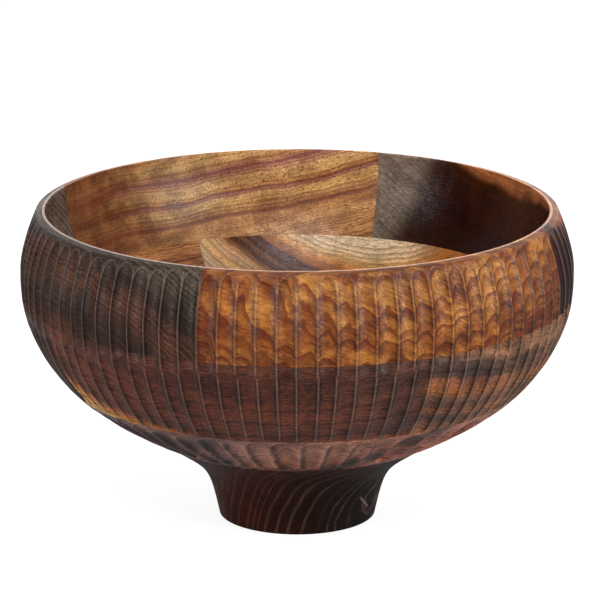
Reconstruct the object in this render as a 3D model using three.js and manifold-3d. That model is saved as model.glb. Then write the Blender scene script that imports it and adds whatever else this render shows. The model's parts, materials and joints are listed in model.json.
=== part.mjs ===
// Wooden pedestal bowl: three courses of glued blocks on a turned foot, its outside cut with
// three rows of gouge flutes. Millimetres, +Z up, origin at the centre of the foot's underside.
// Angles go round the Z axis in degrees, from the front (-Y) towards the right (+X).

import * as THREE from "three";
import { mergeVertices } from "three/addons/utils/BufferGeometryUtils.js";
import Module from "manifold-3d";

const wasm = await Module();
wasm.setup();

// Boards that the courses are sawn from
const footHeight = 39.25;
const baseHeight = 25.25;
const middleHeight = 39.25;
const upperHeight = 39.25;
const glueLine = 0.3; // between the upright faces of two neighbouring blocks

// Foot
const footRadius = 35.5; // of the underside, out to its softened edge
const footEase = 0.4; // height and width of that softened edge
const flareRadius = 40.6; // corner that the foot's hollow flare is drawn round
const flareHeight = 23.5;
const neckRadius = 64.8; // top of the flare, at the glue joint under the bowl

// Outside of the bowl
const underLean = 66.2; // lean of the underside away from upright, where it leaves the foot
const bellyRadius = 124.5;
const bellyDrop = 27.9; // widest place, down from the rim
const bellyReach = 12.4; // how far the widest place stays upright below itself
const rimInset = 7.5; // outer edge of the rim, in from the widest place
const rimLean = 24; // lean of the outside, inwards to that edge
const rimEase = 1; // rounding of the rim's outer and inner edge

// Inside of the bowl
const rimWidth = 4.3; // wall at the rim, with both rounded edges
const floorThickness = 9.4; // wood between the foot's joint and the lowest place inside

// Gouge flutes, in three rows from the rim down
const fluteCount = 90; // upper and middle row
const scallopCount = 54; // lower row
const fluteDepth = 1.2;
const scallopDepth = 1.5;
const rimMargin = 1.8; // plain wood above the upper row
const overrun = 3.4; // how far the upper row runs past its course's joint
const scallopMargin = 1; // plain wood above the lower row
const footMargin = 2; // plain wood below the lower row
const runout = 6; // length over which the gouge enters and leaves the wood

// Joints between blocks: the angle of the first of four in each course
const upperJoint = -20;
const middleJoint = 27;
const baseJoint = -20;

// How finely round surfaces are divided
const fluteSteps = 3; // across one flute
const roundSteps = 72; // round the foot and the inside
const curveSteps = 7; // down the foot
const insideSteps = 11; // down the inside
const edgeSteps = 2; // round the rim's edge

const footTop = footHeight;
const baseTop = footTop + baseHeight;
const middleTop = baseTop + middleHeight;
const rimTop = middleTop + upperHeight;
const rimEdge = rimTop - rimEase;
const rimRadius = bellyRadius - rimInset;
const bellyHeight = rimTop - bellyDrop;
const insideRadius = rimRadius - rimWidth;
const insideFloor = footTop + floorThickness;

const { degToRad, lerp, clamp } = THREE.MathUtils;

function point(radius, height) {
  return new THREE.Vector2(radius, height);
}

// The foot's side: one hollow curve drawn round a corner
const footCurve = new THREE.CubicBezierCurve(
  point(footRadius, footEase),
  point(flareRadius, flareHeight),
  point(flareRadius, flareHeight),
  point(neckRadius, footTop),
);

// The underside leans out until it would meet the upright at the widest place
const underCurve = new THREE.CubicBezierCurve(
  point(neckRadius, footTop),
  point(bellyRadius, footTop + (bellyRadius - neckRadius) / Math.tan(degToRad(underLean))),
  point(bellyRadius, bellyHeight - bellyReach),
  point(bellyRadius, bellyHeight),
);

// From the widest place the outside turns in to the rim
const shoulderCurve = new THREE.QuadraticBezierCurve(
  point(bellyRadius, bellyHeight),
  point(bellyRadius, rimEdge - rimInset / Math.tan(degToRad(rimLean))),
  point(rimRadius, rimEdge),
);

// Radius of a curve at a height, found by halving, because the curves rise all the way
function radiusOn(curve, height) {
  let low = 0;
  let high = 1;
  for (let step = 0; step < 40; step += 1) {
    const middle = (low + high) / 2;
    if (curve.getPoint(middle).y < height) {
      low = middle;
    } else {
      high = middle;
    }
  }
  return curve.getPoint(high).x;
}

function outsideRadius(height) {
  return radiusOn(height < bellyHeight ? underCurve : shoulderCurve, height);
}

// Heights at even steps from bottom to top, both ends included
function evenHeights(bottom, top, steps) {
  return Array.from({ length: steps + 1 }, (_, index) => lerp(bottom, top, index / steps));
}

const upperRow = {
  count: fluteCount,
  depth: fluteDepth,
  top: rimTop - rimMargin,
  bottom: middleTop - overrun,
};
const middleRow = {
  count: fluteCount,
  depth: fluteDepth,
  top: middleTop - overrun,
  bottom: baseTop,
};
const lowerRow = {
  count: scallopCount,
  depth: scallopDepth,
  top: baseTop - scallopMargin,
  bottom: footTop + footMargin,
};

// A gouge of round section: the cut narrows to an arch where the gouge enters and leaves
function cutDepth(row, turn, height) {
  const fromEnd = Math.min(row.top - height, height - row.bottom);
  if (fromEnd <= 0) {
    return 0;
  }
  const entry = 1 - clamp(fromEnd / runout, 0, 1);
  const sunk = 1 - entry * entry;
  const across = ((turn * row.count) % 1) * 2 - 1;
  return row.depth * Math.max(0, sunk - across * across);
}

// How much longer a level cut is than one square to the outside, at a height
function levelFactor(height) {
  const span = 0.1;
  const spread = outsideRadius(height + span) - outsideRadius(height - span);
  return Math.hypot(1, spread / (2 * span));
}

// Moves a turned surface inwards by the depth of the cuts, and leaves every height as it is
function carve(geometry, rows) {
  const position = geometry.getAttribute("position");
  for (let index = 0; index < position.count; index += 1) {
    const x = position.getX(index);
    const y = position.getY(index);
    const height = position.getZ(index);
    const turn = Math.atan2(x, -y) / (2 * Math.PI) + 1;
    const depth = Math.max(...rows.map((row) => cutDepth(row, turn, height)));
    const radius = Math.hypot(x, y);
    if (depth > 0 && radius > depth) {
      const moved = 1 - (depth * levelFactor(height)) / radius;
      position.setXY(index, x * moved, y * moved);
    }
  }
}

// A profile of radii and heights, drawn upwards, turned into a solid round the Z axis
function turned(profile, columns) {
  const geometry = new THREE.LatheGeometry(profile, columns);
  geometry.rotateX(Math.PI / 2);
  return geometry;
}

function toSolid(geometry) {
  const bare = new THREE.BufferGeometry();
  bare.setAttribute("position", geometry.getAttribute("position"));
  bare.setIndex(geometry.getIndex());
  const merged = mergeVertices(bare, 1e-4);
  const index = merged.getIndex().array;
  const triVerts = [];
  for (let corner = 0; corner < index.length; corner += 3) {
    const [a, b, c] = index.slice(corner, corner + 3);
    if (a !== b && b !== c && c !== a) {
      triVerts.push(a, b, c);
    }
  }
  const vertProperties = merged.getAttribute("position").array;
  return new wasm.Manifold(
    new wasm.Mesh({ numProp: 3, vertProperties, triVerts: new Uint32Array(triVerts) }),
  );
}

function toMesh(name, solid, color, roughness) {
  const { vertProperties, triVerts } = solid.getMesh();
  const geometry = new THREE.BufferGeometry();
  geometry.setAttribute("position", new THREE.BufferAttribute(vertProperties, 3));
  geometry.setIndex(new THREE.BufferAttribute(triVerts, 1));
  geometry.computeVertexNormals();
  const material = new THREE.MeshStandardMaterial({ color, roughness, metalness: 0 });
  const mesh = new THREE.Mesh(geometry, material);
  mesh.name = name;
  return mesh;
}

// Half an ellipse turned round the axis, with a flared mouth that rounds the rim's inner edge
function hollow() {
  const depth = rimEdge - insideFloor;
  const profile = Array.from({ length: insideSteps + 1 }, (_, index) => {
    const angle = ((index / insideSteps) * Math.PI) / 2;
    return point(insideRadius * Math.sin(angle), rimEdge - depth * Math.cos(angle));
  });
  profile.push(point(insideRadius + rimEase, rimTop));
  profile.push(point(insideRadius + rimEase, rimTop + rimEase));
  profile.push(point(0, rimTop + rimEase));
  return toSolid(turned(profile, roundSteps));
}

// One course as a carved disc, before it is hollowed and sawn into blocks
function courseDisc(heights, crest, columns, rows) {
  const side = heights.map((height) => point(outsideRadius(height), height));
  const top = crest.length > 0 ? rimTop : heights[heights.length - 1];
  const disc = turned([point(0, heights[0]), ...side, ...crest, point(0, top)], columns);
  carve(disc, rows);
  return toSolid(disc);
}

// The rounded outer edge of the rim, from the outside up to the flat land
function rimCrest() {
  return Array.from({ length: edgeSteps }, (_, index) => {
    const angle = (((index + 1) / edgeSteps) * Math.PI) / 2;
    const inward = rimEase * (1 - Math.cos(angle));
    return point(rimRadius - inward, rimEdge + rimEase * Math.sin(angle));
  });
}

// A quarter of the room round the axis, from one joint angle to the next
function quarter(angle, bottom, top) {
  const reach = bellyRadius + rimWidth;
  const near = glueLine / 2;
  const outline = new THREE.Shape([
    point(near, near),
    point(reach, near),
    point(reach, reach),
    point(near, reach),
  ]);
  const margin = 1;
  const depth = top - bottom + 2 * margin;
  const geometry = new THREE.ExtrudeGeometry(outline, { depth, bevelEnabled: false });
  geometry.translate(0, 0, bottom - margin);
  geometry.rotateZ(degToRad(angle - 90));
  return toSolid(geometry);
}

// Four blocks: the hollowed course, sawn at four upright joints
function blocks(disc, bottom, top, jointAngle, woods) {
  const ring = disc.subtract(hollow());
  return woods.map(({ name, color, roughness }, index) => {
    const block = ring.intersect(quarter(jointAngle + 90 * index, bottom, top));
    return toMesh(name, block, color, roughness);
  });
}

function upperBlocks() {
  const heights = [
    ...evenHeights(middleTop, upperRow.top - runout, 3),
    upperRow.top - runout * 0.4,
    upperRow.top,
    rimEdge,
  ];
  const disc = courseDisc(heights, rimCrest(), fluteCount * fluteSteps, [upperRow]);
  return blocks(disc, middleTop, rimTop, upperJoint, [
    { name: "upper_block_front", color: 0xa8622c, roughness: 0.42 },
    { name: "upper_block_right", color: 0x3a2a24, roughness: 0.45 },
    { name: "upper_block_back", color: 0xa0642f, roughness: 0.42 },
    { name: "upper_block_left", color: 0x3d2a23, roughness: 0.45 },
  ]);
}

function middleBlocks() {
  const heights = [
    baseTop,
    baseTop + runout * 0.4,
    ...evenHeights(baseTop + runout, middleRow.top - runout, 2),
    middleRow.top - runout * 0.4,
    middleRow.top,
    middleTop,
  ];
  const disc = courseDisc(heights, [], fluteCount * fluteSteps, [upperRow, middleRow]);
  return blocks(disc, baseTop, middleTop, middleJoint, [
    { name: "middle_block_right", color: 0x6b4630, roughness: 0.45 },
    { name: "middle_block_back", color: 0xa07440, roughness: 0.45 },
    { name: "middle_block_left", color: 0x5a3424, roughness: 0.45 },
    { name: "middle_block_front", color: 0x4a2c22, roughness: 0.45 },
  ]);
}

function baseBlocks() {
  const heights = [
    footTop,
    lowerRow.bottom,
    lowerRow.bottom + runout * 0.5,
    ...evenHeights(lowerRow.bottom + runout, lowerRow.top - runout, 1),
    lowerRow.top - runout * 0.4,
    lowerRow.top,
    baseTop,
  ];
  const disc = courseDisc(heights, [], scallopCount * fluteSteps, [lowerRow]);
  return blocks(disc, footTop, baseTop, baseJoint, [
    { name: "base_block_front", color: 0x6e4330, roughness: 0.5 },
    { name: "base_block_right", color: 0x6a4738, roughness: 0.5 },
    { name: "base_block_back", color: 0x54382b, roughness: 0.5 },
    { name: "base_block_left", color: 0x43322c, roughness: 0.5 },
  ]);
}

function foot() {
  const side = footCurve.getPoints(curveSteps);
  const profile = [point(0, 0), point(footRadius - footEase, 0), ...side, point(0, footTop)];
  return toMesh("foot", toSolid(turned(profile, roundSteps)), 0x2c1d19, 0.5);
}

const bowl = new THREE.Group();
bowl.add(foot(), ...baseBlocks(), ...middleBlocks(), ...upperBlocks());

export default bowl;
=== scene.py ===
import json
from math import cos, pi, radians, sin, tan

import bpy
import numpy as np
from mathutils import Euler, Matrix, Vector


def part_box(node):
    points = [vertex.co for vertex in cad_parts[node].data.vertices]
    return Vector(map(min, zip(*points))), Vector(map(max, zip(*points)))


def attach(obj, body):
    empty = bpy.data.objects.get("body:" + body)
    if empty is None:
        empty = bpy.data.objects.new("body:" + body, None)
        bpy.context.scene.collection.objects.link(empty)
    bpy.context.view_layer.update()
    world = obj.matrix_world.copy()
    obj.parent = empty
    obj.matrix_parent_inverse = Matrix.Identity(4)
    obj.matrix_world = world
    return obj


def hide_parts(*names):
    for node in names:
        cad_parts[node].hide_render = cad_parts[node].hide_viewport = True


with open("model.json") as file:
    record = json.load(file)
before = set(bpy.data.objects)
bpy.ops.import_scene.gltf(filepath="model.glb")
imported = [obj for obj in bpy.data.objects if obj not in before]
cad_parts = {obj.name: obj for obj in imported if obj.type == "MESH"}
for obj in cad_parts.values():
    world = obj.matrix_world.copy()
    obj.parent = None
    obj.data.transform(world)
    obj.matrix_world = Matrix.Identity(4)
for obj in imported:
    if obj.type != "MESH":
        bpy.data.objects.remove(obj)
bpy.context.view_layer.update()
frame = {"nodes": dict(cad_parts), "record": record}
print("frame loaded:", len(frame["nodes"]), "nodes")

# A wooden pedestal bowl: twelve fluted blocks in three courses on a turned foot, each its own wood.
# Metres, +Z up, the front at -Y. Angles go round the axis from the front towards the right (+X).
mm = 0.001

# Heights of the glue joints come from the frame, the rest of the outline is drawn again here
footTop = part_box("foot")[1].z
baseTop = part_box("base_block_front")[1].z
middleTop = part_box("middle_block_front")[1].z
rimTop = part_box("upper_block_front")[1].z

outline = {
    "footRadius": 35.5 * mm,
    "footEase": 0.4 * mm,  # softened edge of the underside
    "flareRadius": 40.6 * mm,  # corner that the foot's flare is drawn round
    "flareHeight": 23.5 * mm,
    "neckRadius": 64.8 * mm,
    "underLean": 66.2,  # degrees from upright
    "bellyRadius": 124.4 * mm,
    "bellyDrop": 27.9 * mm,
    "bellyReach": 12.4 * mm,
    "rimInset": 7.5 * mm,
    "rimLean": 24,  # degrees from upright
    "rimEase": 1 * mm,  # the rim's height over its outer edge
    "rimWidth": 4.3 * mm,
    "rimSlope": 3.3 * mm,  # how far in from the outer edge the rim still rises
    "rimShoulder": (0.5 * mm, 0.35 * mm),  # in and up to the corner that the slope is drawn round
    "rimCorner": 0.5 * mm,  # rounding of the inner edge
    "rimHighlight": 12,  # how bright the painted highlight on the line round the mouth is, against 1 on a ridge
    "floorThickness": 9.4 * mm,
}
rimEdge = rimTop - outline["rimEase"]
bellyHeight = rimTop - outline["bellyDrop"]
rimRadius = outline["bellyRadius"] - outline["rimInset"]
mouthRadius = rimRadius - outline["rimWidth"]
floorHeight = footTop + outline["floorThickness"]


def bezier(corners, steps=500):
    # Bezier curve: neighbouring corners are mixed by t, again and again, until one point is left
    t = np.linspace(0, 1, steps)[:, None]
    level = [np.array(corner) * np.ones_like(t) for corner in corners]
    while len(level) > 1:
        level = [a * (1 - t) + b * t for a, b in zip(level, level[1:])]
    return level[0]


def outsidePath():
    # Radius and height up the bowl's outside: one curve from neck to belly, then one to the rim
    belly = outline["bellyRadius"]
    neck = outline["neckRadius"]
    underCorner = footTop + (belly - neck) / tan(radians(outline["underLean"]))
    shoulderCorner = rimEdge - outline["rimInset"] / tan(radians(outline["rimLean"]))
    under = bezier([
        (neck, footTop), (belly, underCorner),
        (belly, bellyHeight - outline["bellyReach"]), (belly, bellyHeight),
    ])
    shoulder = bezier([(belly, bellyHeight), (belly, shoulderCorner), (rimRadius, rimEdge)])
    return np.concatenate([under, shoulder[1:]])


bowlPath = outsidePath()


def outsideRadius(height):
    # The path's radius at a height, along straight lines between its close points
    return np.interp(height, bowlPath[:, 1], bowlPath[:, 0])


def insideRadius(height):
    # Half an ellipse: the mouth's radius across, and from the rim's edge down to the floor
    drop = np.clip((rimEdge - height) / (rimEdge - floorHeight), 0, 1)
    return mouthRadius * np.sqrt(1 - drop ** 2)


def levelFactor(height):
    # A cut measured level is longer than one square to the surface by the slope's hypotenuse
    span = 0.2 * mm
    rise = (outsideRadius(height + span) - outsideRadius(height - span)) / (2 * span)
    return np.hypot(1, rise)


# Three rows of gouge cuts, each drawn anew from its seed. Lengths are in metres.
# sweep: the gouge's radius; top, bottom: where its cuts start and end, and how far that wanders;
# entry, exit: the length over which it sinks in and comes out; wander: how far a ridge strays, as
# a share of one flute; wornAndHighlit: half width of the lightened line on a ridge, partly bare worn
# wood and partly painted highlight; lip: how strongly a cut's upper end gets that painted highlight;
# shadeAt, shadeWidth: where painted shade lies, from the ridge; shadeSide: how much of that is
# missing on a flute's right; shadeEnd: how much painted shade the uncut wood at the row's lower end gets.
gougeRows = {
    "upper": {
        "count": 90, "sweep": 6.6 * mm, "top": rimTop - 1.6 * mm, "bottom": middleTop - 6.5 * mm,
        "topWander": 0.8 * mm, "bottomWander": 1.6 * mm, "entry": 6.5 * mm, "exit": 8 * mm,
        "wander": 0.07, "seed": 11, "wornAndHighlit": 0.3 * mm, "lip": 0.9, "shadeAt": 0.85 * mm,
        "shadeWidth": 0.6 * mm, "shadeSide": 0, "shadeEnd": 0,
    },
    "middle": {
        "count": 90, "sweep": 6.4 * mm, "top": middleTop - 3.2 * mm, "bottom": baseTop - 0.4 * mm,
        "topWander": 1.8 * mm, "bottomWander": 0.8 * mm, "entry": 8 * mm, "exit": 5 * mm,
        "wander": 0.07, "seed": 12, "wornAndHighlit": 0.3 * mm, "lip": 0, "shadeAt": 0.85 * mm,
        "shadeWidth": 0.6 * mm, "shadeSide": 0, "shadeEnd": 0,
    },
    "lower": {
        "count": 54, "sweep": 6.8 * mm, "top": baseTop - 1.2 * mm, "bottom": footTop + 2 * mm,
        "topWander": 0.8 * mm, "bottomWander": 1 * mm, "entry": 6 * mm, "exit": 4 * mm,
        "wander": 0.14, "seed": 13, "wornAndHighlit": 0.7 * mm, "lip": 0.6, "shadeAt": 1.5 * mm,
        "shadeWidth": 1.6 * mm, "shadeSide": 1.4, "shadeEnd": 1,
    },
}
# The carver's hand: how deep the cuts are made, as a share of the gouge's full depth
hand = {
    "share": 1.03,
    "rimShare": 0.16,  # how much shallower near the rim
    "rimFrom": 26 * mm,  # that begins this far down from the rim,
    "rimTo": 6 * mm,  # and is full this far down
    "waver": 0.02,
    "waverLength": 5 * mm,
}
# Sanding and oiling afterwards, and where the painted highlight and painted shade lie
finishAndPaintedLight = {
    "ridge": 0.22 * mm,  # half the width that is rounded on each ridge
    "runout": 0.05 * mm,  # rounding where a cut runs out
    "fullRidgeDepth": 0.8 * mm,  # a ridge between cuts this deep gets its full lightened line, partly wear and partly painted highlight
    "lipDepth": 0.14 * mm,  # the lip's painted highlight is where the cut is this shallow
    "markDepth": 0.12 * mm,  # from here down a cut holds its painted shade and its own tone
}
for row in gougeRows.values():
    draw = np.random.default_rng(row["seed"])
    count = row["count"]
    row["shift"] = draw.uniform(-1, 1, count) * row["wander"]
    row["tops"] = row["top"] + draw.uniform(-1, 1, count) * row["topWander"]
    row["bottoms"] = row["bottom"] + draw.uniform(-1, 1, count) * row["bottomWander"]
    row["wave"] = draw.uniform(0, 2 * pi, count)
    row["tone"] = draw.uniform(-1, 1, count)


def ridgeShift(row, turn):
    # How far a ridge strays from its even place: the drawn shifts, joined by straight lines
    count = row["count"]
    place = np.mod(turn * count, count)
    low = np.floor(place).astype(int) % count
    share = place - np.floor(place)
    return (row["shift"][low] * (1 - share) + row["shift"][(low + 1) % count] * share) / count


def strayTurn(row, turn):
    # The even turn whose ridge lands at this turn, found by stepping back by the shift
    even = turn
    for _ in range(4):
        even = turn - ridgeShift(row, even)
    return even


def gougeCut(row, turn, height):
    # A round gouge: depth is width squared over eight sweeps, less the square of the way across,
    # and the gouge sinks in and comes out along a parabola at the row's two ends. The ridge
    # between two flutes is rounded: its distance is taken by Pythagoras with the sanded width.
    count = row["count"]
    place = np.mod(strayTurn(row, turn) * count, count)
    flute = np.floor(place).astype(int) % count
    across = 2 * (place - np.floor(place)) - 1
    span = 1 + row["shift"][(flute + 1) % count] - row["shift"][flute]
    width = span * 2 * pi * outsideRadius(height) / count
    entry = np.clip((row["tops"][flute] - height) / row["entry"], 0, 1)
    leave = np.clip((height - row["bottoms"][flute]) / row["exit"], 0, 1)
    sunk = (1 - (1 - entry) ** 2) * (1 - (1 - leave) ** 2)
    nearRim = np.clip((hand["rimFrom"] - rimTop + height) / (hand["rimFrom"] - hand["rimTo"]), 0, 1)
    sunk = sunk * (hand["share"] - hand["rimShare"] * nearRim * nearRim * (3 - 2 * nearRim)
                   + hand["waver"] * np.sin(height / hand["waverLength"] + row["wave"][flute]))
    depth = width ** 2 / (8 * row["sweep"])
    rounded = 1 - np.hypot(1 - np.abs(across), 2 * finishAndPaintedLight["ridge"] / width)
    cut = depth * (sunk - rounded ** 2)

    # the marks are bell curves of the distance from the ridge, or of the depth at the lip
    fromRidge = (1 - np.abs(across)) * width / 2
    inWood = np.clip(cut / finishAndPaintedLight["markDepth"], 0, 1)
    # a lightened line along each ridge and along a cut's upper end: partly bare worn wood, partly painted
    # highlight
    wornAndHighlit = np.exp(-(fromRidge / row["wornAndHighlit"]) ** 2) * np.clip(depth * sunk / finishAndPaintedLight["fullRidgeDepth"], 0, 1)
    lip = row["lip"] * np.exp(-(cut / finishAndPaintedLight["lipDepth"]) ** 2) * (entry > 0) * (entry < 1)
    # painted shade: a band beside each ridge, less of it on a flute's right, and on the uncut wood at the
    # row's lower end
    paintedShade = np.exp(-((fromRidge - row["shadeAt"]) / row["shadeWidth"]) ** 2) * inWood
    paintedShade = paintedShade * np.clip(1 - row["shadeSide"] * across, 0, 1)
    paintedShade = np.maximum(paintedShade, row["shadeEnd"] * (1 - inWood) * (leave < 1))
    return cut, np.maximum(wornAndHighlit, lip), paintedShade, row["tone"][flute] * inWood


def carved(rows, turn, height):
    # The deepest of the rows' cuts, and where it runs out, the logarithm of one plus its exponential
    # rounds the edge. The marks are the deepest cut's own: lightened crest (partly painted highlight),
    # painted shade beside it, and tone.
    ease = finishAndPaintedLight["runout"]
    cuts = np.array([gougeCut(gougeRows[name], turn, height) for name in rows])
    winner = np.argmax(cuts[:, 0], axis=0)[None]
    deepest, wornAndHighlit, paintedShade, tone = (
        np.take_along_axis(cuts[:, part], winner, 0)[0] for part in range(4))
    marks = {"crest": wornAndHighlit, "edge": paintedShade, "tone": tone}
    return ease * np.logaddexp(0, deepest / ease), marks


def loopQuads(around, columns, closed):
    # Quads from each point of the section to the next one, and from each column to the next
    i, j = np.meshgrid(np.arange(around), np.arange(columns if closed else columns - 1), indexing="ij")
    nextI, nextJ = (i + 1) % around, (j + 1) % columns
    return np.stack([
        i * columns + j, i * columns + nextJ, nextI * columns + nextJ, nextI * columns + j,
    ], axis=-1).ravel()


sharpAngle = radians(48)  # edges sharper than this stay sharp


def makePiece(name, loop, marks, closed):
    # loop[i, j] is point i of the section at column j. A closed loop runs all the way round,
    # any other one gets its first and last section as caps.
    around, columns = loop.shape[:2]
    corners = loopQuads(around, columns, closed)
    starts = np.arange(0, len(corners), 4)
    if not closed:
        starts = np.append(starts, [len(corners), len(corners) + around])
        firstCap = np.arange(around) * columns
        corners = np.concatenate([corners, firstCap, firstCap[::-1] + columns - 1])
    mesh = bpy.data.meshes.new(name)
    mesh.vertices.add(around * columns)
    mesh.vertices.foreach_set("co", loop.reshape(-1, 3).astype(np.float32).ravel())
    mesh.loops.add(len(corners))
    mesh.loops.foreach_set("vertex_index", corners.astype(np.int32))
    mesh.polygons.add(len(starts))
    mesh.polygons.foreach_set("loop_start", starts.astype(np.int32))
    mesh.update(calc_edges=True)
    mesh.validate()
    for label, values in marks.items():
        attribute = mesh.attributes.new(label, "FLOAT", "POINT")
        attribute.data.foreach_set("value", values.astype(np.float32).ravel())
    mesh.shade_smooth()
    mesh.set_sharp_from_angle(angle=sharpAngle)
    piece = bpy.data.objects.new(name, mesh)
    bpy.context.scene.collection.objects.link(piece)
    return piece


# Each course: its heights, its first joint in degrees, its four blocks from there on, the rows
# that cut it, the row whose ridges its columns follow, and how finely a block is drawn
courses = {
    "upper": {
        "bottom": middleTop, "top": rimTop, "joint": -20, "sides": ["front", "right", "back", "left"],
        "rows": ["upper"], "guide": "upper", "columns": 450, "heights": 76,
    },
    "middle": {
        "bottom": baseTop, "top": middleTop, "joint": 27, "sides": ["right", "back", "left", "front"],
        "rows": ["upper", "middle"], "guide": "middle", "columns": 450, "heights": 76,
    },
    "base": {
        "bottom": footTop, "top": baseTop, "joint": -20, "sides": ["front", "right", "back", "left"],
        "rows": ["middle", "lower"], "guide": "lower", "columns": 340, "heights": 84,
    },
}
halfGlue = 0.03 * mm  # half of the glue line that is left between two blocks
crowding = 0.75  # of columns at the ridges: 0 leaves them even, at 1 the first ones meet


def rimProfile(slopeSteps=8, cornerSteps=4):
    # Over the rim: a slope drawn round its corner, then a quarter of an ellipse into the mouth
    shoulderIn, shoulderUp = outline["rimShoulder"]
    slope = bezier([
        (rimRadius, rimEdge), (rimRadius - shoulderIn, rimEdge + shoulderUp),
        (rimRadius - outline["rimSlope"], rimTop),
    ], slopeSteps + 1)[1:]
    angle = np.linspace(pi / 2, 0, cornerSteps + 1)
    corner = np.stack([
        mouthRadius + outline["rimCorner"] * (1 - np.cos(angle)),
        rimEdge + outline["rimEase"] * np.sin(angle),
    ], axis=-1)
    return slope, corner


def insideProfile(top, bottom, steps=29, floorSteps=39):
    # Down the inside. In the base it reaches the floor, in even steps of the ellipse's angle,
    # and goes down beside the axis to the underside.
    if bottom > footTop:
        heights = np.linspace(top, bottom, steps + 1)
        return np.stack([insideRadius(heights), heights], axis=-1)
    fall = rimEdge - floorHeight
    swing = np.linspace(np.arccos((rimEdge - top) / fall), 0, floorSteps + 1)[:-1]
    inside = np.stack([mouthRadius * np.sin(swing), rimEdge - fall * np.cos(swing)], axis=-1)
    core = 0.15 * mm
    return np.concatenate([inside, [(core, floorHeight), (core, footTop)]])


def blockLoop(course, quarter):
    # Section of a block, carried round a quarter turn: up the carved outside, over the rim or the
    # flat top, down the inside, and back along the flat underside. The columns crowd together at
    # the ridges by a sine of the turn, and follow them where they stray.
    guide = gougeRows[course["guide"]]
    firstTurn = (course["joint"] + 90 * quarter) / 360
    share = np.linspace(0, 1, course["columns"])
    fade = np.clip(np.minimum(share, 1 - share) * guide["count"] / 4, 0, 1)
    even = firstTurn + share / 4
    even = even - crowding / (2 * pi * guide["count"]) * np.sin(2 * pi * even * guide["count"]) * fade
    turns = even + ridgeShift(guide, even) * fade

    isRim = course["top"] == rimTop
    edge = rimEdge if isRim else course["top"]
    heights = np.linspace(course["bottom"], edge, course["heights"])
    turnGrid, heightGrid = np.meshgrid(turns, heights)
    depth, outsideMarks = carved(course["rows"], turnGrid, heightGrid)
    outside = outsideRadius(heightGrid) - depth * levelFactor(heightGrid)

    profile = insideProfile(edge, course["bottom"])
    slope = []
    if isRim:
        slope, corner = rimProfile()
        profile = np.concatenate([slope, corner, profile[1:]])
    profileTurns = np.where(np.arange(len(profile))[:, None] < len(slope), turns, even)
    radii, levels = (np.repeat(column[:, None], len(turns), axis=1) for column in profile.T)
    radius = np.concatenate([outside, radii])
    height = np.concatenate([heightGrid, levels])
    angle = np.concatenate([turnGrid, profileTurns]) * 2 * pi
    middle = (firstTurn + 1 / 8) * 2 * pi  # the glue line opens along this direction
    x = radius * np.sin(angle) + halfGlue * sin(middle)
    y = -radius * np.cos(angle) - halfGlue * cos(middle)

    # the cuts' marks are on the outside alone, the polish everywhere else
    marks = {label: np.pad(values, ((0, len(profile)), (0, 0))) for label, values in outsideMarks.items()}
    marks["polish"] = np.ones_like(radius)
    marks["polish"][:len(heights)] = 0
    # a painted highlight on the two rings at the inner edge of the rim's top
    if isRim:
        highlitRing = len(heights) + len(slope) - 1
        marks["crest"][highlitRing:highlitRing + 2] = outline["rimHighlight"]
    return np.stack([x, y, height], axis=-1), marks


# A light scratch low on the foot's right: its ends as degrees round and height
scratch = {
    "start": (47, 14.5 * mm),
    "end": (58, 8.4 * mm),
    "width": 0.4 * mm,
    "bareness": 1.3,  # against 1 on a ridge
}


def scratchMark(turn, height):
    # A bell curve of each point's distance from the straight line between the scratch's ends
    start, end = np.array(scratch["start"]), np.array(scratch["end"])
    place = np.stack([np.broadcast_to(np.degrees(turn), height.shape), height], axis=-1)
    scale = np.array([radians(outline["flareRadius"]), 1])
    line, offset = (end - start) * scale, (place - start) * scale
    share = np.clip((offset @ line) / (line @ line), 0, 1)
    away = np.linalg.norm(offset - share[..., None] * line, axis=-1)
    return scratch["bareness"] * np.exp(-(away / scratch["width"]) ** 2)


def footLoop(columns=600, sideSteps=129, easeSteps=3, underSteps=11, topSteps=5):
    # The foot's side curve turned round the axis; top and underside close it beside the axis
    core = 0.1 * mm
    ease = outline["footEase"]
    underEdge = outline["footRadius"] - ease
    under = np.linspace((core, 0), (underEdge, 0), underSteps + 1)[:-1]
    angle = np.linspace(0, pi / 2, easeSteps + 1)[:-1]
    edge = np.stack([underEdge + ease * np.sin(angle), ease - ease * np.cos(angle)], axis=-1)
    side = bezier([
        (outline["footRadius"], ease),
        (outline["flareRadius"], outline["flareHeight"]),
        (outline["flareRadius"], outline["flareHeight"]),
        (outline["neckRadius"], footTop),
    ], sideSteps + 1)
    top = np.linspace((outline["neckRadius"], footTop), (core, footTop), topSteps + 1)[1:]
    section = np.concatenate([under, edge, side, top])
    turn = np.linspace(0, 2 * pi, columns + 1)[:-1]
    radius = section[:, :1]
    height = np.broadcast_to(section[:, 1:], (len(section), columns))
    loop = np.stack([radius * np.sin(turn), -radius * np.cos(turn), height], axis=-1)
    return loop, {"crest": scratchMark(turn, height)}


pieces = {}
for courseName, course in courses.items():
    for quarter, side in enumerate(course["sides"]):
        node = f"{courseName}_block_{side}"
        loop, marks = blockLoop(course, quarter)
        pieces[node] = makePiece("fluted_" + node, loop, marks, closed=False)
loop, marks = footLoop()
pieces["foot"] = makePiece("turned_foot", loop, marks, closed=True)
print("pieces made:", len(pieces))


# Node wiring: a socket is linked, anything else is set as the fixed value
def feed(tree, source, socket):
    if isinstance(source, bpy.types.NodeSocket):
        tree.links.new(source, socket)
    else:
        socket.default_value = source


def sums(tree, operation, *sources, clamp=False):
    # One arithmetic step on numbers
    node = tree.nodes.new("ShaderNodeMath")
    node.operation = operation
    node.use_clamp = clamp
    for source, socket in zip(sources, node.inputs):
        feed(tree, source, socket)
    return node.outputs[0]


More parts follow.
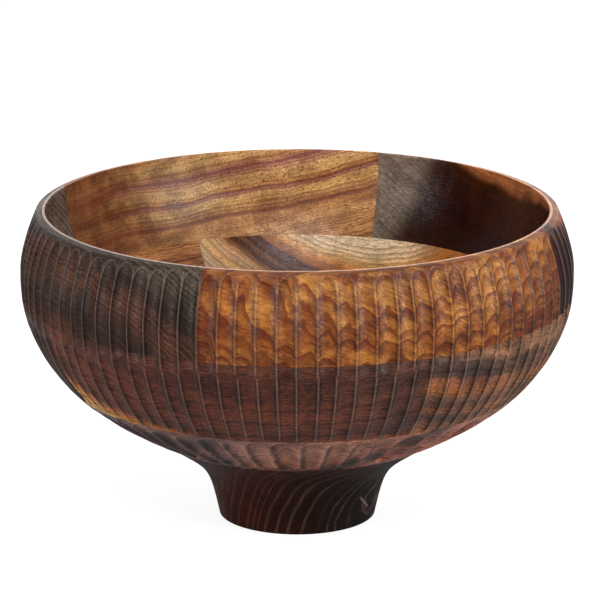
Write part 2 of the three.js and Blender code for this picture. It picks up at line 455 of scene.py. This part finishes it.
def vectors(tree, operation, *sources):
    # One step on vectors; a length comes out as a number
    node = tree.nodes.new("ShaderNodeVectorMath")
    node.operation = operation
    sockets = [node.inputs[0], node.inputs["Scale"]] if operation == "SCALE" else node.inputs
    for source, socket in zip(sources, sockets):
        feed(tree, source, socket)
    return node.outputs["Value" if operation == "LENGTH" else "Vector"]


def between(tree, value, low, high):
    # 0 below the low end, 1 above the high end, smooth on the way
    node = tree.nodes.new("ShaderNodeMapRange")
    node.interpolation_type = "SMOOTHSTEP"
    feed(tree, value, node.inputs["Value"])
    feed(tree, low, node.inputs["From Min"])
    feed(tree, high, node.inputs["From Max"])
    return node.outputs["Result"]


def cloud(tree, place, detail=2.0, roughness=0.5, dimensions="3D"):
    # Blender's noise, whose lumps are about one unit of the place across
    node = tree.nodes.new("ShaderNodeTexNoise")
    node.noise_dimensions = dimensions
    feed(tree, place, node.inputs["W" if dimensions == "1D" else "Vector"])
    node.inputs["Scale"].default_value = 1
    node.inputs["Detail"].default_value = detail
    node.inputs["Roughness"].default_value = roughness
    return node


def blended(tree, share, first, second):
    # The first colour at share 0, the second at share 1, mixed in proportion between
    node = tree.nodes.new("ShaderNodeMix")
    node.data_type = "RGBA"
    feed(tree, share, node.inputs[0])
    feed(tree, first, node.inputs[6])
    feed(tree, second, node.inputs[7])
    return node.outputs[2]


def socketKind(start):
    # by its start value: a number, three numbers for a vector, or four for a colour
    if isinstance(start, float):
        return "NodeSocketFloat"
    return "NodeSocketVector" if len(start) == 3 else "NodeSocketColor"


def newGroup(name, given, made):
    # given and made: each socket's label and start value
    tree = bpy.data.node_groups.new(name, "ShaderNodeTree")
    for label, start in given.items():
        socket = tree.interface.new_socket(label, in_out="INPUT", socket_type=socketKind(start))
        socket.default_value = start
    for label, start in made.items():
        tree.interface.new_socket(label, in_out="OUTPUT", socket_type=socketKind(start))
    return tree, tree.nodes.new("NodeGroupInput").outputs, tree.nodes.new("NodeGroupOutput").inputs


# How finely each cloud is divided, along the fibres and twice across them: per millimetre, or for
# sway, curl and veins over the board's own length
clouds = {
    "sway": (0.45, 1.0, 1.0), "curl": (1.0, 0.42, 0.42), "veins": (0.8, 1.0, 1.0),
    "fibre": (0.09, 1.3, 1.3), "mottle": (0.05, 0.09, 0.09), "pores": 2.3,
}
# Where in its cloud a mask begins to show, and where it is full
masks = {
    "fibre": (0.28, 0.72), "pores": (0.54, 0.7), "mottle": (0.28, 0.72), "veins": (0.004, 0.03),
    "weight": (0.1, 0.55),
}
lateWood = {"full": 0.86, "end": 0.88}  # where in the year the dark line is full, and where it ends


def stretched(tree, place, stretch, length):
    # The place counted in steps of that length, stretched differently along each axis
    share = sums(tree, "DIVIDE", 1.0, length)
    return vectors(tree, "SCALE", vectors(tree, "MULTIPLY", place, stretch), share)


def makeBoardGrain():
    # Place is in the board's own millimetres: the fibres run along X and the tree's heart is the
    # X axis, so a growth ring is a step of the distance from that axis
    tree, given, made = newGroup("boardGrain", {
        "Place": (0.0, 0.0, 0.0), "Heart": 200.0, "Ring Width": 3.0, "Line Width": 0.63, "Uneven": 4.0,
        "Sway": 3.0, "Sway Length": 50.0, "Curl": 0.5, "Curl Length": 9.0, "Vein Size": 16.0,
        "Pore Length": 1.6, "Seed": 0.0,
    }, {"Depth": 0.0, "Late": 0.0, "Fibre": 0.0, "Pores": 0.0, "Ripple": 0.0, "Mottle": 0.0, "Veins": 0.0})
    place = given["Place"]
    seeded = vectors(tree, "SCALE", (37.0, 11.0, 23.0), given["Seed"])

    # slow sway of the layers, longer along the fibres
    slow = vectors(tree, "ADD", stretched(tree, place, clouds["sway"], given["Sway Length"]), seeded)
    slow = cloud(tree, slow, 2.0, 0.4)
    sway = vectors(tree, "SUBTRACT", slow.outputs["Color"], (0.5, 0.5, 0.5))
    sway = vectors(tree, "SCALE", sway, sums(tree, "MULTIPLY", given["Sway"], 2.0))

    # curl: the fibres ripple along their length, and the layers ripple with them
    quick = vectors(tree, "ADD", stretched(tree, place, clouds["curl"], given["Curl Length"]), seeded)
    quick = cloud(tree, quick, 1.0, 0.5)
    ripple = sums(tree, "MULTIPLY", sums(tree, "SUBTRACT", quick.outputs["Fac"], 0.5), 4.0)
    feed(tree, ripple, made["Ripple"])
    lift = tree.nodes.new("ShaderNodeCombineXYZ")
    feed(tree, sums(tree, "MULTIPLY", ripple, given["Curl"]), lift.inputs["Z"])
    swayed = vectors(tree, "ADD", vectors(tree, "ADD", place, sway), lift.outputs[0])

    # distance from the heart, less the block's own distance: millimetres through the board
    radius = vectors(tree, "LENGTH", vectors(tree, "MULTIPLY", swayed, (0.0, 1.0, 1.0)))
    depth = sums(tree, "SUBTRACT", radius, sums(tree, "ABSOLUTE", given["Heart"]))
    feed(tree, sums(tree, "MULTIPLY", depth, sums(tree, "SIGN", given["Heart"])), made["Depth"])

    # late wood: a line that darkens slowly through the year and ends sharply. A slow cloud makes
    # the years uneven, and each year has its own weight.
    year = sums(tree, "DIVIDE", radius, given["Ring Width"])
    several = sums(tree, "ADD", sums(tree, "MULTIPLY", year, 0.23), given["Seed"])
    uneven = cloud(tree, several, 1.0, 0.5, "1D")
    year = sums(tree, "ADD", year, sums(tree, "MULTIPLY", uneven.outputs["Fac"], given["Uneven"]))
    part = sums(tree, "FRACT", year)
    start = sums(tree, "SUBTRACT", lateWood["end"], given["Line Width"])
    darkening = between(tree, part, start, lateWood["full"])
    line = sums(tree, "SUBTRACT", darkening, between(tree, part, lateWood["end"], 1.0))
    weight = cloud(tree, sums(tree, "MULTIPLY", sums(tree, "FLOOR", year), 0.71), 0.0, 0.5, "1D")
    weight = between(tree, weight.outputs["Fac"], *masks["weight"])
    feed(tree, sums(tree, "MULTIPLY", line, weight, clamp=True), made["Late"])

    # fine streaks and pores, long with the fibres and round across them, and broad patches
    fine = vectors(tree, "ADD", vectors(tree, "MULTIPLY", swayed, clouds["fibre"]), seeded)
    fine = cloud(tree, fine, 3.0, 0.68).outputs["Fac"]
    feed(tree, between(tree, fine, *masks["fibre"]), made["Fibre"])
    cell = tree.nodes.new("ShaderNodeCombineXYZ")
    feed(tree, sums(tree, "DIVIDE", 1.0, given["Pore Length"]), cell.inputs["X"])
    cell.inputs["Y"].default_value = clouds["pores"]
    cell.inputs["Z"].default_value = clouds["pores"]
    pores = cloud(tree, vectors(tree, "MULTIPLY", swayed, cell.outputs[0]), 0.0)
    feed(tree, between(tree, pores.outputs["Fac"], *masks["pores"]), made["Pores"])
    patches = vectors(tree, "ADD", vectors(tree, "MULTIPLY", swayed, clouds["mottle"]), seeded)
    patches = cloud(tree, patches, 4.0, 0.6).outputs["Fac"]
    feed(tree, between(tree, patches, *masks["mottle"]), made["Mottle"])

    # veins: thin dark lines where a lumpy cloud crosses its middle
    lumps = vectors(tree, "ADD", stretched(tree, swayed, clouds["veins"], given["Vein Size"]), seeded)
    lumps = cloud(tree, lumps, 3.0, 0.55).outputs["Fac"]
    away = sums(tree, "ABSOLUTE", sums(tree, "SUBTRACT", lumps, 0.5))
    feed(tree, sums(tree, "SUBTRACT", 1.0, between(tree, away, *masks["veins"])), made["Veins"])
    return tree


# What oil does on every board, and the lightened line on ridges and rim, partly bare worn wood and partly
# painted highlight: the oiled colour times lighter, plus tint.
oilAndHighlight = {
    "darkest": 0.15, "lighter": 1.5, "tint": (0.5, 0.4, 0.34),
    "fibreGloss": 0.25, "poreDullness": 0.15, "polish": 0.1, "crestDullness": 0.1,
    "fibreHeight": 0.8, "lateHeight": 0.3,
}


def makeOiledWoodPaintedLight():
    # Colour, roughness and height of the oiled surface, out of the board's masks and its own tones, with
    # painted shade beside the ridges and a painted highlight on them
    tree, given, made = newGroup("oiledWoodPaintedLight", {
        "Ground": (0.3, 0.1, 0.03, 1.0), "Streak": (0.05, 0.02, 0.01, 1.0),
        "Pore": (0.05, 0.02, 0.01, 1.0), "Patch": (0.1, 0.04, 0.02, 1.0), "Patch Share": 0.0,
        "Late": 0.0, "Fibre": 0.5, "Pores": 0.0, "Ripple": 0.0, "Mottle": 0.5, "Veins": 0.0, "End": 0.0,
        "Crest": 0.0, "Edge": 0.0, "Tone": 0.0, "Polish": 0.0,
        "Late Share": 0.6, "Fibre Share": 0.5, "Pore Share": 0.5, "Ripple Share": 0.2,
        "Mottle Share": 0.5, "Vein Share": 0.0, "End Share": 0.25, "Crest Share": 0.5,
        "Edge Share": 0.3, "Tone Share": 0.06, "Dullness": 0.42,
    }, {"Color": (0.0, 0.0, 0.0, 1.0), "Roughness": 0.0, "Height": 0.0})

    def shared(label, share):
        return sums(tree, "MULTIPLY", given[label], share)

    # colour: patches, then late wood and veins as streaks
    patches = sums(tree, "SUBTRACT", 1.0, between(tree, given["Mottle"], 0.25, 0.75))
    patches = sums(tree, "MULTIPLY", patches, given["Patch Share"])
    patched = blended(tree, patches, given["Ground"], given["Patch"])
    lined = blended(tree, shared("Late", given["Late Share"]), patched, given["Streak"])
    lined = blended(tree, shared("Veins", given["Vein Share"]), lined, given["Streak"])

    # brightness: darker at end grain and in the painted shade beside the ridges, lighter or darker with
    # the figure
    level = sums(tree, "SUBTRACT", 1.0, shared("End", given["End Share"]))
    for label in ("Fibre", "Mottle"):
        swing = sums(tree, "MULTIPLY", sums(tree, "SUBTRACT", given[label], 0.5), 2.0)
        level = sums(tree, "ADD", level, sums(tree, "MULTIPLY", swing, given[label + " Share"]))
    level = sums(tree, "ADD", level, shared("Ripple", given["Ripple Share"]))
    # painted shade beside the ridges and at the rows' lower ends
    level = sums(tree, "SUBTRACT", level, shared("Edge", given["Edge Share"]))
    level = sums(tree, "ADD", level, shared("Tone", given["Tone Share"]))
    level = sums(tree, "MAXIMUM", level, oilAndHighlight["darkest"])
    toned = vectors(tree, "SCALE", lined, level)
    pored = blended(tree, shared("Pores", given["Pore Share"]), toned, given["Pore"])
    # lightened colour: bare wood in the foot's scratch, bare wood with a painted highlight on ridges, the
    # rim's inner line and the cuts' lips
    wornAndHighlit = vectors(tree, "ADD", vectors(tree, "SCALE", pored, oilAndHighlight["lighter"]), oilAndHighlight["tint"])
    feed(tree, blended(tree, shared("Crest", given["Crest Share"]), pored, wornAndHighlit), made["Color"])

    # roughness: pores and crests are duller, dense fibres and the polished inside less so
    grain = sums(tree, "MULTIPLY", sums(tree, "SUBTRACT", given["Fibre"], 0.5), oilAndHighlight["fibreGloss"])
    dull = sums(tree, "SUBTRACT", given["Dullness"], grain)
    dull = sums(tree, "ADD", dull, shared("Pores", oilAndHighlight["poreDullness"]))
    dull = sums(tree, "SUBTRACT", dull, shared("Polish", oilAndHighlight["polish"]))
    dull = sums(tree, "ADD", dull, shared("Crest", oilAndHighlight["crestDullness"]), clamp=True)
    feed(tree, dull, made["Roughness"])

    # height: fibres stand up, pores and late wood lie lower
    relief = sums(tree, "SUBTRACT", shared("Fibre", oilAndHighlight["fibreHeight"]), given["Pores"])
    feed(tree, sums(tree, "SUBTRACT", relief, shared("Late", oilAndHighlight["lateHeight"])), made["Height"])
    return tree


boardGrain = makeBoardGrain()
oiledWoodPaintedLight = makeOiledWoodPaintedLight()


def shade(code):
    # A colour as it is seen on a screen, "b98650", into Blender's linear values
    return tuple((int(code[i:i + 2], 16) / 255) ** 2.2 for i in (0, 2, 4)) + (1.0,)


# Each block is a ring segment, so its fibres run level, square to the block's middle.
# What most boards share; a board's own entries below come first. Lengths here in millimetres.
# tip: how far the growth layers lean outwards from level, degrees; swing: that lean turned round
# the axis; skew: the fibres turned within their layer; heart: how far off the middle of the tree
# is, below 0 if it lay above the layers.
# rings: wood of one year; line: the share of it that is dark; uneven: how much years differ.
# sway, curl: how far the layers wander slowly and the fibres ripple quickly, and over what length.
# late, veins, fibre, pores, ripple, mottle, patches, end, edge (painted shade), crest (partly painted
# highlight): how strongly each shows.
# layers: (depth through the board, colour) from one face to the other.
# drift: the colour changes along the fibres, from and to, share and colour.
usualBoard = {
    "swing": 0, "skew": 0, "heart": 240, "rings": 2.4, "line": 0.63, "uneven": 4,
    "sway": 4, "swayLength": 36, "curl": 0.7, "curlLength": 8,
    "late": 0.6, "veins": 0, "veinSize": 16, "fibre": 0.5, "pores": 0.4, "ripple": 0.14,
    "mottle": 0.25, "patch": "000000", "patches": 0, "end": 0.2, "edge": 0.6, "crest": 0.27,
    "dull": 0.3, "shine": 0.24, "drift": None,
}
boards = {
    "upper_block_front": {
        "tip": 54, "swing": -4, "skew": -30, "heart": 170, "rings": 3, "line": 0.72, "uneven": 1.6,
        "sway": 2.2, "swayLength": 26, "curl": 1.1, "curlLength": 7, "seed": 1.3, "veins": 0.3,
        "veinSize": 12,
        "layers": [(-44, "5c3b30"), (-30, "6a4130"), (-20, "7c4a2e"), (-10, "8a5429"), (-2, "9a6029"),
                   (5, "a26a33"), (14, "9c6932"), (24, "8d5829")],
        "streak": "54200f", "pore": "5a2c18", "patch": "7a3418", "patches": 0.6, "late": 0.8,
        "fibre": 0.42, "ripple": 0.24, "mottle": 0.24, "end": 0.25, "edge": 0.45, "crest": 0.1,
        "dull": 0.38, "shine": 0.22,
    },
    "upper_block_left": {
        "tip": -42, "heart": 260, "rings": 2.2, "sway": 5, "swayLength": 40, "curlLength": 7, "seed": 2.1,
        # its grey layers from 20 mm through are partly its own hue and partly painted sheen; its grey
        # drift towards the back end is painted sheen
        "layers": [(-40, "4a3228"), (-22, "573528"), (-10, "3e2c24"), (2, "5c3a2c"), (12, "3c2b24"),
                   (20, "4c3e34"), (32, "54463a")],
        "streak": "160906", "pore": "140906", "late": 0.62, "ripple": 0.2, "mottle": 0.36, "end": 0.15,
        "fibre": 0.38, "crest": 0.15, "dull": 0.38, "shine": 0.16, "drift": (-46, -66, 0.7, "6e5f56"),
    },
    "upper_block_right": {
        "tip": 50, "skew": 20, "heart": 120, "sway": 6, "swayLength": 30, "seed": 3.7,
        # its grey-brown layers at -44 and -37 mm are painted sheen of reflected light on the inside
        "layers": [(-44, "675145"), (-37, "5a443b"), (-31, "452b23"), (-24, "341e16"), (-12, "2f130d"),
                   (0, "38180d"), (7, "43210f"), (9.6, "a4603b"), (15, "ac683f"), (20, "814f2f"),
                   (34, "70452f")],
        "streak": "140906", "pore": "120805", "late": 0.34, "fibre": 0.36, "mottle": 0.28, "end": 0.1,
        # its grey drift towards the back joint is painted sheen of reflected light on the inside
        "shine": 0.16, "drift": (57, 72, 0.8, "9a8674"),
    },
    "upper_block_back": {
        "tip": 23.6, "swing": 9, "skew": -50, "heart": 320, "rings": 1.7, "sway": 3.4,
        "swayLength": 30, "curl": 0.35, "curlLength": 9, "seed": 4.4,
        "layers": [(-30, "cc925e"), (-20, "dda76d"), (-14, "d59961"), (-12.6, "b07e63"), (-11.8, "804b3d"),
                   (-11.2, "b67e54"), (-6, "e0af6b"), (-3.4, "d2a06e"), (-2.2, "a57063"), (-1.6, "79443a"),
                   (-1, "bf8452"), (3, "e0b372"), (6.4, "c8926d"), (8, "a77267"), (9.2, "88574d"),
                   (10, "b98461"), (15, "e0b372"), (20, "c78d58"), (28, "daa767")],
        "streak": "703a22", "pore": "4a2615", "patch": "8a4420", "patches": 0.35, "late": 0.5,
        "fibre": 0.27, "pores": 0.65, "ripple": 0.08, "mottle": 0.2, "end": 0.42, "crest": 0.05,
        # its drift, darker and more orange towards the left end of the inside, is partly its own colour
        # and partly painted shade where that wall gets less light
        "shine": 0.25, "drift": (8, 34, 0.75, "8c4216"),
    },
    "middle_block_right": {
        "tip": 19, "heart": 300, "sway": 5, "swayLength": 34, "curl": 0.8, "seed": 5.2,
        "layers": [(-34, "80513b"), (-24, "905d40"), (-20, "7b4f3b"), (-18, "523931"), (-16, "674737"),
                   (-14, "905837"), (-11, "90593b"), (-8, "674b3e"), (-6, "7d523f"), (-2, "a96637"),
                   (3, "90583c"), (5.4, "594137"), (7, "41302d"), (12, "5b453b"), (16, "885c42"),
                   (30, "8f5e3e")],
        "streak": "341d14", "pore": "2c1810", "late": 0.5, "ripple": 0.2, "mottle": 0.34, "crest": 0.22,
        "drift": (-62, -30, 0.55, "8f6244"),
    },
    "middle_block_back": {
        "tip": 88, "swing": -1.5, "heart": 190, "rings": 2.6, "sway": 3, "swayLength": 34,
        "curl": 0.6, "seed": 6.6,
        "layers": [(-38, "ccb296"), (-33, "c4a17b"), (-30, "e6b473"), (-28, "c49f7c"), (-25.5, "d2a171"),
                   (-23.6, "80573c"), (-22.6, "4a2e1f"), (-18, "442a23"), (-15, "4a2a2f"),
                   (-14, "b06738"), (-11, "d68f4e"), (-8.4, "f2c488"), (-6, "fad8ab"), (0, "fbddb5"),
                   (8, "f8d4a3")],
        "streak": "8e5a34", "pore": "7c4a2a", "late": 0.55, "fibre": 0.28, "pores": 0.5, "ripple": 0.1,
        "mottle": 0.2, "shine": 0.25, "drift": (-16, -44, 0.85, "b0682c"),
    },
    "middle_block_left": {
        "tip": 50, "swing": -35, "heart": 220, "curl": 0.6, "seed": 7.1,
        "layers": [(-58, "4d342e"), (-20, "58382f"), (-4, "6e4737"), (8, "815137"), (14, "a97149"),
                   (17.5, "996043"), (19.5, "b67c4e"), (22, "ac7348"), (26, "8b5936")],
        "streak": "42261d", "pore": "3c241a", "crest": 0.2,
    },
    "middle_block_front": {
        "tip": 22, "swing": 13, "heart": -240, "rings": 1.8, "swayLength": 40, "curlLength": 6,
        "seed": 8.8,
        "layers": [(-34, "efbb72"), (-27, "e29b52"), (-22, "c76d34"), (-19.6, "7a442e"), (-17, "683727"),
                   (-9, "713b29"), (0, "6e3b2a"), (12, "573026"), (24, "583325"), (36, "4c2923")],
        "streak": "1f0c07", "pore": "1a0b06", "ripple": 0.2, "mottle": 0.3, "end": 0.15, "crest": 0.16,
        "drift": (36, 76, 0.7, "553a30"),
    },
    "base_block_front": {
        "tip": 60.6, "swing": -58, "heart": 300, "rings": 2.6, "sway": 6, "swayLength": 30,
        "curl": 1, "curlLength": 7, "crest": 0.1, "seed": 9.4,
        "layers": [(-45, "b77160"), (-20, "c97f68"), (-9, "bf7864"), (-4, "a16a58"), (0, "644741"),
                   (4, "5e413b"), (6, "b26f5a"), (20, "c37d62"), (28, "c9886c"), (34, "bd7f68"),
                   (52, "a37364")],
        "streak": "40201a", "pore": "341a14", "late": 0.5, "edge": 0.8, "ripple": 0.2, "mottle": 0.4,
    },
    "base_block_right": {
        "tip": 60, "heart": 160, "rings": 2.8, "sway": 5, "crest": 0.1, "edge": 0.8, "seed": 10.3,
        "layers": [(-34, "a65d3f"), (-16, "bf6e46"), (-2, "9d5a3c"), (10, "c67849"), (26, "a65e42")],
        "streak": "42251c", "pore": "362018", "late": 0.4, "mottle": 0.3,
    },
    "base_block_back": {
        "tip": 40, "rings": 2.6, "seed": 11.9,
        "layers": [(-34, "46342e"), (-16, "402f2a"), (0, "4c3932"), (14, "3a2b27"), (28, "48362f")],
        "streak": "201614", "pore": "1d1412",
    },
    "base_block_left": {
        "tip": 36, "rings": 2.6, "crest": 0.1, "edge": 0.8, "seed": 12.5,
        "layers": [(-34, "7d584c"), (-14, "98665c"), (0, "6f4a44"), (14, "916459"), (28, "744e47")],
        "streak": "1c100e", "pore": "1a0f0d", "late": 0.5, "mottle": 0.45,
    },
    "foot": {
        "tip": 78.2, "swing": -116, "skew": -23, "heart": 54.4, "rings": 4, "line": 0.3, "uneven": 2,
        "sway": 2.4, "swayLength": 40, "curl": 0.4, "curlLength": 6, "seed": 13.8,
        "layers": [(-40, "181210"), (-30, "1c1410"), (-20, "241510"), (-8, "2e150d"), (6, "3e160b"),
                   (16, "3c1a12"), (34, "3c2822")],
        "streak": "5a443c", "pore": "0e0705", "late": 0.55, "pores": 0.3, "mottle": 0.35,
        "dull": 0.46, "end": 0, "shine": 0.14,
    },
}


wallMiddle = 12 * mm  # in from the outside, where a block's depths are counted from
endShows = (0.35, 1.0)  # how squarely fibres meet the surface where end grain begins and is full
fibreBump = {"strength": 0.4, "depth": 0.12 * mm}  # how far the fibres stand up


def boardPlace(node, board):
    # Where the board's own axes lie: along the fibres, across, and out through the growth layers
    low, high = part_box(node)
    height = (low.z + high.z) / 2
    if node == "foot":
        middle, facing = Vector((0, 0, height)), 0
    else:
        courseName, _, side = node.split("_")
        course = courses[courseName]
        facing = course["joint"] + 90 * course["sides"].index(side) + 45
        wall = outsideRadius(height) - wallMiddle
        middle = Vector((wall * sin(radians(facing)), -wall * cos(radians(facing)), height))
    lean, tip = radians(facing + board["swing"]), radians(board["tip"])
    out = Vector((sin(tip) * sin(lean), -sin(tip) * cos(lean), cos(tip)))
    level = Vector((cos(lean), sin(lean), 0))
    skew = radians(board["skew"])
    along = level * cos(skew) + out.cross(level) * sin(skew)
    turned = Matrix((along, out.cross(along), out)).transposed().to_euler()
    return middle - out * board["heart"] * mm, turned, along


def layerColour(tree, depth, place, board):
    # The board's layers as a colour ramp over its depth, and its drift along the fibres
    depths = [layer[0] for layer in board["layers"]]
    first, last = depths[0], depths[-1]
    scaled = tree.nodes.new("ShaderNodeMapRange")
    feed(tree, depth, scaled.inputs["Value"])
    scaled.inputs["From Min"].default_value = first
    scaled.inputs["From Max"].default_value = last
    ramp = tree.nodes.new("ShaderNodeValToRGB")
    feed(tree, scaled.outputs["Result"], ramp.inputs["Fac"])
    stops = ramp.color_ramp.elements
    stops[1].position = 1
    for inner in depths[1:-1]:
        stops.new((inner - first) / (last - first))
    for stop, layer in zip(stops, board["layers"]):
        stop.color = shade(layer[1])
    if not board["drift"]:
        return ramp.outputs["Color"]
    start, end, most, code = board["drift"]
    parts = tree.nodes.new("ShaderNodeSeparateXYZ")
    feed(tree, place, parts.inputs[0])
    share = sums(tree, "MULTIPLY", between(tree, parts.outputs["X"], start, end), most)
    return blended(tree, share, ramp.outputs["Color"], shade(code))


def endGrain(tree, normal, along):
    # Shows where the surface faces along the fibres, by the cosine of the angle between them
    facing = tree.nodes.new("ShaderNodeVectorMath")
    facing.operation = "DOT_PRODUCT"
    feed(tree, normal, facing.inputs[0])
    facing.inputs[1].default_value = along
    return between(tree, sums(tree, "ABSOLUTE", facing.outputs["Value"]), *endShows)


def placedGroup(tree, group, values):
    # A node of that group, with each value fed to the socket of its label
    node = tree.nodes.new("ShaderNodeGroup")
    node.node_tree = group
    for label, value in values.items():
        feed(tree, value, node.inputs[label])
    return node.outputs


def woodMaterial(slot, node, board):
    # One block's wood: its board's grain, oiled, with the marks of its cuts: bare ridges with a painted
    # highlight, and painted shade beside them
    material = bpy.data.materials.new(slot)
    material.use_nodes = True
    tree = material.node_tree
    heart, turned, along = boardPlace(node, board)
    placed = tree.nodes.new("ShaderNodeTexCoord")
    mapping = tree.nodes.new("ShaderNodeMapping")
    mapping.vector_type = "TEXTURE"  # turned back into the board, and metres into millimetres
    mapping.inputs["Location"].default_value = heart
    mapping.inputs["Rotation"].default_value = turned
    mapping.inputs["Scale"].default_value = (mm, mm, mm)
    feed(tree, placed.outputs["Object"], mapping.inputs["Vector"])
    place = mapping.outputs["Vector"]

    grain = placedGroup(tree, boardGrain, {
        "Place": place, "Heart": board["heart"], "Ring Width": board["rings"],
        "Line Width": board["line"], "Uneven": board["uneven"], "Sway": board["sway"],
        "Sway Length": board["swayLength"], "Curl": board["curl"], "Curl Length": board["curlLength"],
        "Vein Size": board["veinSize"], "Seed": board["seed"],
    })
    surface = {
        "Ground": layerColour(tree, grain["Depth"], place, board),
        "End": endGrain(tree, placed.outputs["Normal"], along), "End Share": board["end"],
        "Streak": shade(board["streak"]), "Pore": shade(board["pore"]),
        "Patch": shade(board["patch"]), "Patch Share": board["patches"],
        "Late Share": board["late"], "Vein Share": board["veins"], "Fibre Share": board["fibre"],
        "Pore Share": board["pores"], "Ripple Share": board["ripple"], "Mottle Share": board["mottle"],
        "Edge Share": board["edge"], "Crest Share": board["crest"], "Dullness": board["dull"],
    }
    for label in ("Late", "Fibre", "Pores", "Ripple", "Mottle", "Veins"):
        surface[label] = grain[label]
    for label in ("crest", "edge", "tone", "polish"):
        mark = tree.nodes.new("ShaderNodeAttribute")
        mark.attribute_name = label
        surface[label.title()] = mark.outputs["Fac"]
    wood = placedGroup(tree, oiledWoodPaintedLight, surface)

    shader = tree.nodes["Principled BSDF"]
    shader.inputs["Specular IOR Level"].default_value = board["shine"]
    bump = tree.nodes.new("ShaderNodeBump")
    bump.inputs["Strength"].default_value = fibreBump["strength"]
    bump.inputs["Distance"].default_value = fibreBump["depth"]
    feed(tree, wood["Height"], bump.inputs["Height"])
    feed(tree, wood["Color"], shader.inputs["Base Color"])
    feed(tree, wood["Roughness"], shader.inputs["Roughness"])
    feed(tree, bump.outputs["Normal"], shader.inputs["Normal"])
    return material


slots = {row["node"]: row["material_slot"] for row in frame["record"]["subparts"]}
for node, piece in pieces.items():
    board = {**usualBoard, **boards[node]}
    piece.data.materials.append(woodMaterial(slots[node] + "_" + node, node, board))
    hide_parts(node)
    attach(piece, "root")
print("woods made:", len(boards))

# Floor: lit like anything else, so it keeps the shadow, and lifted to white for the camera only
floorLook = {"reach": 6, "tone": 0.36, "dullness": 0.9, "shine": 0.1, "lift": 0.88, "mirrored": 0.15}
floorMesh = bpy.data.meshes.new("pale_floor")
reach = floorLook["reach"]
floorCorners = [(-reach, -reach, 0), (reach, -reach, 0), (reach, reach, 0), (-reach, reach, 0)]
floorMesh.from_pydata(floorCorners, [], [(0, 1, 2, 3)])
floor = bpy.data.objects.new("pale_floor", floorMesh)
bpy.context.scene.collection.objects.link(floor)
floorMaterial = bpy.data.materials.new("pale_floor")
floorMaterial.use_nodes = True
floorTree = floorMaterial.node_tree
floorShader = floorTree.nodes["Principled BSDF"]
floorShader.inputs["Base Color"].default_value = (floorLook["tone"],) * 3 + (1,)
floorShader.inputs["Roughness"].default_value = floorLook["dullness"]
floorShader.inputs["Specular IOR Level"].default_value = floorLook["shine"]
floorShader.inputs["Emission Color"].default_value = (1, 1, 1, 1)
floorRays = floorTree.nodes.new("ShaderNodeLightPath")
mirrored = sums(floorTree, "MULTIPLY", floorRays.outputs["Is Glossy Ray"], floorLook["mirrored"])
seen = sums(floorTree, "MAXIMUM", floorRays.outputs["Is Camera Ray"], mirrored)
lift = sums(floorTree, "MULTIPLY", seen, floorLook["lift"])
feed(floorTree, lift, floorShader.inputs["Emission Strength"])
floorMesh.materials.append(floorMaterial)

# Camera: metres in front of the axis and over the floor, degrees downwards, millimetres of lens
photoView = {
    "distance": 1.6739, "height": 0.5567, "tilt": 15.277, "lens": 231.02, "sensor": 36,
    "sideShift": 0.0047,
}
cameraData = bpy.data.cameras.new("photo_camera")
cameraData.sensor_width = photoView["sensor"]
cameraData.lens = photoView["lens"]
cameraData.shift_x = photoView["sideShift"]
camera = bpy.data.objects.new("photo_camera", cameraData)
camera.location = (0, -photoView["distance"], photoView["height"])
camera.rotation_euler = Euler((radians(90 - photoView["tilt"]), 0, 0))
bpy.context.scene.collection.objects.link(camera)
bpy.context.scene.camera = camera

# Soft boxes: turn round the bowl from the front, rise above the floor, both in degrees
lampAim = Vector((0, 0, 0.08))
lamps = {
    "right_box": {"turn": 58, "rise": 9, "distance": 2.0, "size": 1.1, "power": 35},
    "left_box": {"turn": -58, "rise": 5, "distance": 2.0, "size": 0.95, "power": 22},
    "top_box": {"turn": 0, "rise": 52, "distance": 1.9, "size": 0.9, "power": 23},
}
for name, lamp in lamps.items():
    data = bpy.data.lights.new(name, "AREA")
    data.energy = lamp["power"]
    data.size = lamp["size"]
    light = bpy.data.objects.new(name, data)
    turn, rise = radians(lamp["turn"]), radians(lamp["rise"])
    away = Vector((cos(rise) * sin(turn), -cos(rise) * cos(turn), sin(rise)))
    light.location = away * lamp["distance"] + lampAim
    light.rotation_euler = (-away).to_track_quat("-Z", "Y").to_euler()
    bpy.context.scene.collection.objects.link(light)

# World: a dim studio in front, a white backdrop behind, and white wherever the camera sees it
studio = {"dim": 0.04, "backdrop": 0.9, "turnsWhite": 0.6}
world = bpy.data.worlds.new("studio")
world.use_nodes = True
worldTree = world.node_tree
background = worldTree.nodes["Background"]
background.inputs["Color"].default_value = (1, 1, 1, 1)
direction = worldTree.nodes.new("ShaderNodeSeparateXYZ")
skyPlace = worldTree.nodes.new("ShaderNodeTexCoord")
feed(worldTree, skyPlace.outputs["Generated"], direction.inputs[0])
behind = between(worldTree, direction.outputs["Y"], 0.0, studio["turnsWhite"])
glow = sums(worldTree, "MULTIPLY", behind, studio["backdrop"] - studio["dim"])
glow = sums(worldTree, "ADD", glow, studio["dim"])
worldRays = worldTree.nodes.new("ShaderNodeLightPath")
glow = sums(worldTree, "MAXIMUM", glow, worldRays.outputs["Is Camera Ray"])
feed(worldTree, glow, background.inputs["Strength"])
bpy.context.scene.world = world
bpy.context.scene.view_settings.view_transform = "Standard"
print("camera and lights made")
